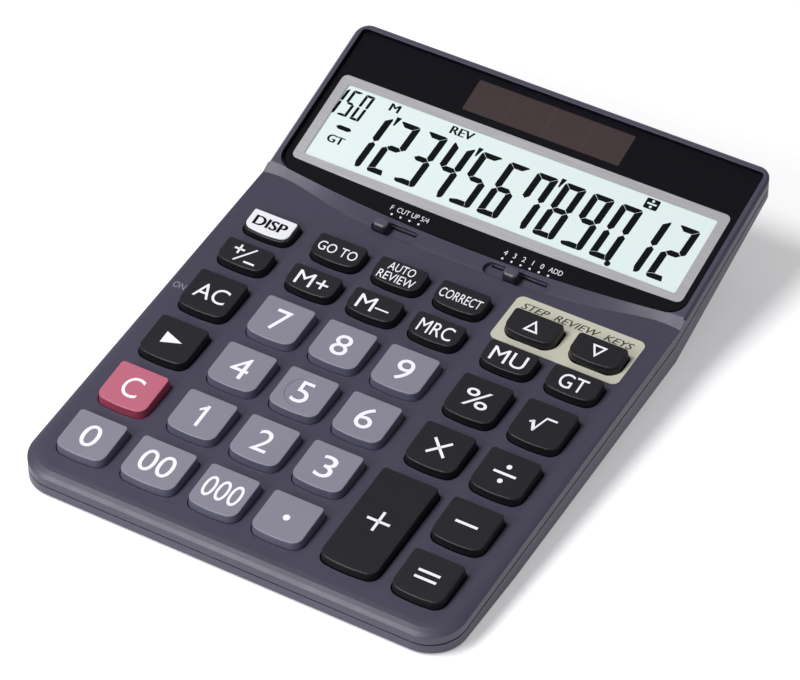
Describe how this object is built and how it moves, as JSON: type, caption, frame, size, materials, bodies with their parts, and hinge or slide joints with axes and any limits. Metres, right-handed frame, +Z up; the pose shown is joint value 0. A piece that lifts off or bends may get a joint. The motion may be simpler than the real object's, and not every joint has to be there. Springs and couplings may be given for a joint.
{
  "type": "desk calculator",
  "caption": "Wedge-shaped desk calculator with a sloped keypad, a raised tilted display, a solar cell, pressing keys and slide selectors.",
  "frame": {"origin": "on the table plane under the middle of the case's plan outline", "axes": "+X to the right as the user sees it, +Y from the user to the raised display, +Z up"},
  "size_m": [0.14, 0.191, 0.0346],
  "materials": {
    "case": "fine sandblasted grain, slate grey with a violet cast",
    "function_key": "satin black",
    "number_key": "satin warm grey",
    "clear_key": "satin rose",
    "inlay": "white, slightly glossy",
    "window": "clear acrylic, black printed back in the visual model",
    "frame": "satin silver foil",
    "lcd": "grey-green display with polariser",
    "connector_rubber": "striped conductive rubber",
    "cell": "dark amorphous solar cell",
    "board": "green solder mask",
    "cable": "flexible insulation",
    "chip": "black potting resin",
    "mat": "translucent silicone",
    "battery": "polished steel can",
    "contact": "spring brass",
    "screw": "zinc plated",
    "feet": "matt black rubber",
    "knob": "light grey moulded plastic"
  },
  "bodies": {
    "case": {"upper_case": "case", "lower_case": "case", "display_window": "window", "lcd_frame": "frame", "lcd_glass": "lcd", "lcd_connectors": "connector_rubber", "solar_cell": "cell", "key_board": "board", "display_board": "board", "ribbon_cable": "cable", "board_components": "chip", "key_mat": "mat", "key_domes": "mat", "button_cell": "battery", "cell_contacts": "contact", "cell_cover": "case", "cell_cover_screw": "screw", "case_screws": "screw", "rubber_feet": "feet", "wires": "cable"},
    "key_display": {"key_display": "function_key", "display_key_inlay": "inlay"},
    "key_go_to": {"key_go_to": "function_key"},
    "key_review": {"key_review": "function_key"},
    "key_correct": {"key_correct": "function_key"},
    "key_step_up": {"key_step_up": "function_key"},
    "key_step_down": {"key_step_down": "function_key"},
    "key_sign": {"key_sign": "function_key"},
    "key_memory_plus": {"key_memory_plus": "function_key"},
    "key_memory_minus": {"key_memory_minus": "function_key"},
    "key_memory_recall": {"key_memory_recall": "function_key"},
    "key_mark_up": {"key_mark_up": "function_key"},
    "key_grand_total": {"key_grand_total": "function_key"},
    "key_all_clear": {"key_all_clear": "function_key"},
    "key_7": {"key_7": "number_key"},
    "key_8": {"key_8": "number_key"},
    "key_9": {"key_9": "number_key"},
    "key_percent": {"key_percent": "function_key"},
    "key_root": {"key_root": "function_key"},
    "key_shift": {"key_shift": "function_key"},
    "key_4": {"key_4": "number_key"},
    "key_5": {"key_5": "number_key"},
    "key_6": {"key_6": "number_key"},
    "key_times": {"key_times": "function_key"},
    "key_divide": {"key_divide": "function_key"},
    "key_clear": {"key_clear": "clear_key"},
    "key_1": {"key_1": "number_key"},
    "key_2": {"key_2": "number_key"},
    "key_3": {"key_3": "number_key"},
    "key_plus": {"key_plus": "function_key"},
    "key_minus": {"key_minus": "function_key"},
    "key_0": {"key_0": "number_key"},
    "key_00": {"key_00": "number_key"},
    "key_000": {"key_000": "number_key"},
    "key_point": {"key_point": "number_key"},
    "key_equals": {"key_equals": "function_key"},
    "left_selector": {"left_selector_knob": "knob", "left_wiper": "contact"},
    "right_selector": {"right_selector_knob": "knob", "right_wiper": "contact"}
  },
  "joints": [
    {"name": "key_display_press", "type": "slide", "parent": "case", "child": "key_display", "axis": [0, 0.068, -0.9977], "range_m": [0, 0.0012], "stiffness_N_per_m": 200, "springref_m": -0.0015, "deforming": ["key_domes"]},
    {"name": "key_go_to_press", "type": "slide", "parent": "case", "child": "key_go_to", "axis": [0, 0.068, -0.9977], "range_m": [0, 0.0012], "stiffness_N_per_m": 200, "springref_m": -0.0015, "deforming": ["key_domes"]},
    {"name": "key_review_press", "type": "slide", "parent": "case", "child": "key_review", "axis": [0, 0.068, -0.9977], "range_m": [0, 0.0012], "stiffness_N_per_m": 200, "springref_m": -0.0015, "deforming": ["key_domes"]},
    {"name": "key_correct_press", "type": "slide", "parent": "case", "child": "key_correct", "axis": [0, 0.068, -0.9977], "range_m": [0, 0.0012], "stiffness_N_per_m": 200, "springref_m": -0.0015, "deforming": ["key_domes"]},
    {"name": "key_step_up_press", "type": "slide", "parent": "case", "child": "key_step_up", "axis": [0, 0.068, -0.9977], "range_m": [0, 0.0012], "stiffness_N_per_m": 200, "springref_m": -0.0015, "deforming": ["key_domes"]},
    {"name": "key_step_down_press", "type": "slide", "parent": "case", "child": "key_step_down", "axis": [0, 0.068, -0.9977], "range_m": [0, 0.0012], "stiffness_N_per_m": 200, "springref_m": -0.0015, "deforming": ["key_domes"]},
    {"name": "key_sign_press", "type": "slide", "parent": "case", "child": "key_sign", "axis": [0, 0.068, -0.9977], "range_m": [0, 0.0012], "stiffness_N_per_m": 200, "springref_m": -0.0015, "deforming": ["key_domes"]},
    {"name": "key_memory_plus_press", "type": "slide", "parent": "case", "child": "key_memory_plus", "axis": [0, 0.068, -0.9977], "range_m": [0, 0.0012], "stiffness_N_per_m": 200, "springref_m": -0.0015, "deforming": ["key_domes"]},
    {"name": "key_memory_minus_press", "type": "slide", "parent": "case", "child": "key_memory_minus", "axis": [0, 0.068, -0.9977], "range_m": [0, 0.0012], "stiffness_N_per_m": 200, "springref_m": -0.0015, "deforming": ["key_domes"]},
    {"name": "key_memory_recall_press", "type": "slide", "parent": "case", "child": "key_memory_recall", "axis": [0, 0.068, -0.9977], "range_m": [0, 0.0012], "stiffness_N_per_m": 200, "springref_m": -0.0015, "deforming": ["key_domes"]},
    {"name": "key_mark_up_press", "type": "slide", "parent": "case", "child": "key_mark_up", "axis": [0, 0.068, -0.9977], "range_m": [0, 0.0012], "stiffness_N_per_m": 200, "springref_m": -0.0015, "deforming": ["key_domes"]},
    {"name": "key_grand_total_press", "type": "slide", "parent": "case", "child": "key_grand_total", "axis": [0, 0.068, -0.9977], "range_m": [0, 0.0012], "stiffness_N_per_m": 200, "springref_m": -0.0015, "deforming": ["key_domes"]},
    {"name": "key_all_clear_press", "type": "slide", "parent": "case", "child": "key_all_clear", "axis": [0, 0.068, -0.9977], "range_m": [0, 0.0012], "stiffness_N_per_m": 200, "springref_m": -0.0015, "deforming": ["key_domes"]},
    {"name": "key_7_press", "type": "slide", "parent": "case", "child": "key_7", "axis": [0, 0.068, -0.9977], "range_m": [0, 0.0012], "stiffness_N_per_m": 200, "springref_m": -0.0015, "deforming": ["key_domes"]},
    {"name": "key_8_press", "type": "slide", "parent": "case", "child": "key_8", "axis": [0, 0.068, -0.9977], "range_m": [0, 0.0012], "stiffness_N_per_m": 200, "springref_m": -0.0015, "deforming": ["key_domes"]},
    {"name": "key_9_press", "type": "slide", "parent": "case", "child": "key_9", "axis": [0, 0.068, -0.9977], "range_m": [0, 0.0012], "stiffness_N_per_m": 200, "springref_m": -0.0015, "deforming": ["key_domes"]},
    {"name": "key_percent_press", "type": "slide", "parent": "case", "child": "key_percent", "axis": [0, 0.068, -0.9977], "range_m": [0, 0.0012], "stiffness_N_per_m": 200, "springref_m": -0.0015, "deforming": ["key_domes"]},
    {"name": "key_root_press", "type": "slide", "parent": "case", "child": "key_root", "axis": [0, 0.068, -0.9977], "range_m": [0, 0.0012], "stiffness_N_per_m": 200, "springref_m": -0.0015, "deforming": ["key_domes"]},
    {"name": "key_shift_press", "type": "slide", "parent": "case", "child": "key_shift", "axis": [0, 0.068, -0.9977], "range_m": [0, 0.0012], "stiffness_N_per_m": 200, "springref_m": -0.0015, "deforming": ["key_domes"]},
    {"name": "key_4_press", "type": "slide", "parent": "case", "child": "key_4", "axis": [0, 0.068, -0.9977], "range_m": [0, 0.0012], "stiffness_N_per_m": 200, "springref_m": -0.0015, "deforming": ["key_domes"]},
    {"name": "key_5_press", "type": "slide", "parent": "case", "child": "key_5", "axis": [0, 0.068, -0.9977], "range_m": [0, 0.0012], "stiffness_N_per_m": 200, "springref_m": -0.0015, "deforming": ["key_domes"]},
    {"name": "key_6_press", "type": "slide", "parent": "case", "child": "key_6", "axis": [0, 0.068, -0.9977], "range_m": [0, 0.0012], "stiffness_N_per_m": 200, "springref_m": -0.0015, "deforming": ["key_domes"]},
    {"name": "key_times_press", "type": "slide", "parent": "case", "child": "key_times", "axis": [0, 0.068, -0.9977], "range_m": [0, 0.0012], "stiffness_N_per_m": 200, "springref_m": -0.0015, "deforming": ["key_domes"]},
    {"name": "key_divide_press", "type": "slide", "parent": "case", "child": "key_divide", "axis": [0, 0.068, -0.9977], "range_m": [0, 0.0012], "stiffness_N_per_m": 200, "springref_m": -0.0015, "deforming": ["key_domes"]},
    {"name": "key_clear_press", "type": "slide", "parent": "case", "child": "key_clear", "axis": [0, 0.068, -0.9977], "range_m": [0, 0.0012], "stiffness_N_per_m": 200, "springref_m": -0.0015, "deforming": ["key_domes"]},
    {"name": "key_1_press", "type": "slide", "parent": "case", "child": "key_1", "axis": [0, 0.068, -0.9977], "range_m": [0, 0.0012], "stiffness_N_per_m": 200, "springref_m": -0.0015, "deforming": ["key_domes"]},
    {"name": "key_2_press", "type": "slide", "parent": "case", "child": "key_2", "axis": [0, 0.068, -0.9977], "range_m": [0, 0.0012], "stiffness_N_per_m": 200, "springref_m": -0.0015, "deforming": ["key_domes"]},
    {"name": "key_3_press", "type": "slide", "parent": "case", "child": "key_3", "axis": [0, 0.068, -0.9977], "range_m": [0, 0.0012], "stiffness_N_per_m": 200, "springref_m": -0.0015, "deforming": ["key_domes"]},
    {"name": "key_plus_press", "type": "slide", "parent": "case", "child": "key_plus", "axis": [0, 0.068, -0.9977], "range_m": [0, 0.0012], "stiffness_N_per_m": 200, "springref_m": -0.0015, "deforming": ["key_domes"]},
    {"name": "key_minus_press", "type": "slide", "parent": "case", "child": "key_minus", "axis": [0, 0.068, -0.9977], "range_m": [0, 0.0012], "stiffness_N_per_m": 200, "springref_m": -0.0015, "deforming": ["key_domes"]},
    {"name": "key_0_press", "type": "slide", "parent": "case", "child": "key_0", "axis": [0, 0.068, -0.9977], "range_m": [0, 0.0012], "stiffness_N_per_m": 200, "springref_m": -0.0015, "deforming": ["key_domes"]},
    {"name": "key_00_press", "type": "slide", "parent": "case", "child": "key_00", "axis": [0, 0.068, -0.9977], "range_m": [0, 0.0012], "stiffness_N_per_m": 200, "springref_m": -0.0015, "deforming": ["key_domes"]},
    {"name": "key_000_press", "type": "slide", "parent": "case", "child": "key_000", "axis": [0, 0.068, -0.9977], "range_m": [0, 0.0012], "stiffness_N_per_m": 200, "springref_m": -0.0015, "deforming": ["key_domes"]},
    {"name": "key_point_press", "type": "slide", "parent": "case", "child": "key_point", "axis": [0, 0.068, -0.9977], "range_m": [0, 0.0012], "stiffness_N_per_m": 200, "springref_m": -0.0015, "deforming": ["key_domes"]},
    {"name": "key_equals_press", "type": "slide", "parent": "case", "child": "key_equals", "axis": [0, 0.068, -0.9977], "range_m": [0, 0.0012], "stiffness_N_per_m": 200, "springref_m": -0.0015, "deforming": ["key_domes"]},
    {"name": "left_selector_slide", "type": "slide", "parent": "case", "child": "left_selector", "axis": [1, 0, 0], "range_m": [0, 0.00909]},
    {"name": "right_selector_slide", "type": "slide", "parent": "case", "child": "right_selector", "axis": [1, 0, 0], "range_m": [-0.00606, 0.00909]}
  ]
}
